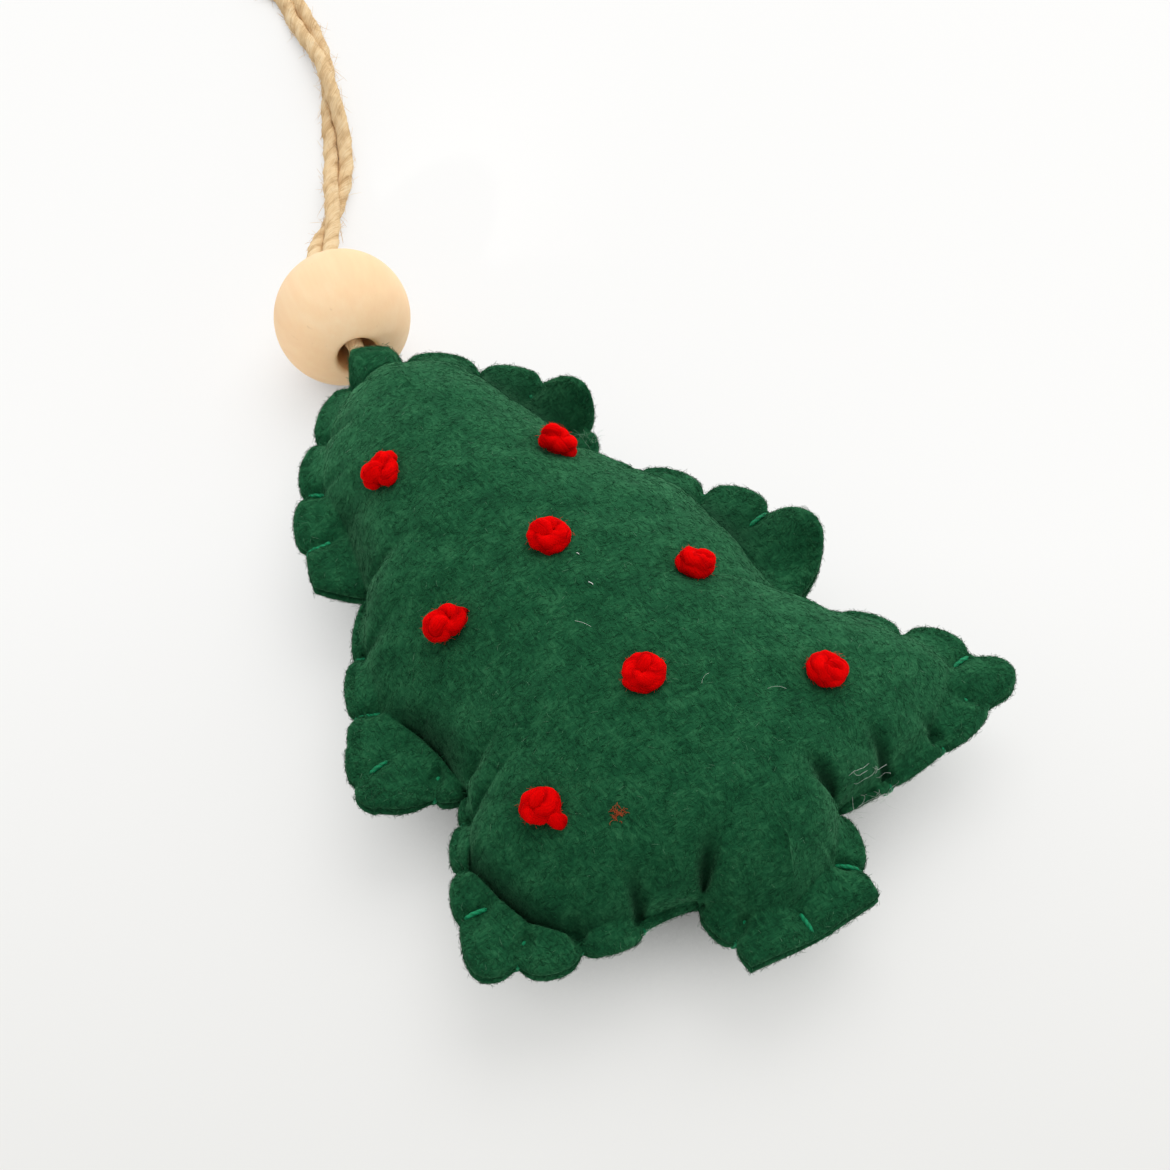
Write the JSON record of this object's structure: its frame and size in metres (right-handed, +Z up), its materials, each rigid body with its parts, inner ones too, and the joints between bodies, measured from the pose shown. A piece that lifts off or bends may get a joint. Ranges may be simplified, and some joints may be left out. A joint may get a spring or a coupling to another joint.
{
  "type": "felt christmas ornament",
  "caption": "Stuffed felt tree with a whip-stitched scalloped seam and red yarn knots, hung from a doubled twine loop threaded through a wooden bead.",
  "frame": {"origin": "middle of the base, under the felt tree and the bead as they lie on a table", "axes": "+Z up out of the front felt, +Y along the tree towards its tip, +X to the tree's right as it is seen from the front"},
  "size_m": [0.0771, 0.2001, 0.0277],
  "materials": {
    "front_felt": "matted wool-blend felt, dark green",
    "back_felt": "matted wool-blend felt, dark green",
    "stuffing": "loose white filling",
    "seam_thread": "emerald stranded cotton",
    "red_yarn": "soft red yarn",
    "twine": "hairy jute twine",
    "wood": "smooth unvarnished pale wood"
  },
  "bodies": {
    "tree": {"front_felt": "front_felt", "back_felt": "back_felt", "stuffing": "stuffing", "seam_thread": "seam_thread", "knot_1": "red_yarn", "knot_2": "red_yarn", "knot_3": "red_yarn", "knot_4": "red_yarn", "knot_5": "red_yarn", "knot_6": "red_yarn", "knot_7": "red_yarn", "knot_8": "red_yarn", "twine_tail_1": "twine", "twine_tail_2": "twine"},
    "hanger": {"twine_loop": "twine"},
    "bead": {"wooden_bead": "wood"}
  },
  "joints": [
    {"name": "hanger_swing", "type": "hinge", "parent": "tree", "child": "hanger", "pos_m": [-0.00084, 0.04296, 0.011], "axis": [0, 0, 1], "range_deg": [-14, 45]},
    {"name": "bead_slide", "type": "slide", "parent": "hanger", "child": "bead", "axis": [0.2696, 0.9529, -0.1392], "range_m": [0, 0.005]}
  ]
}
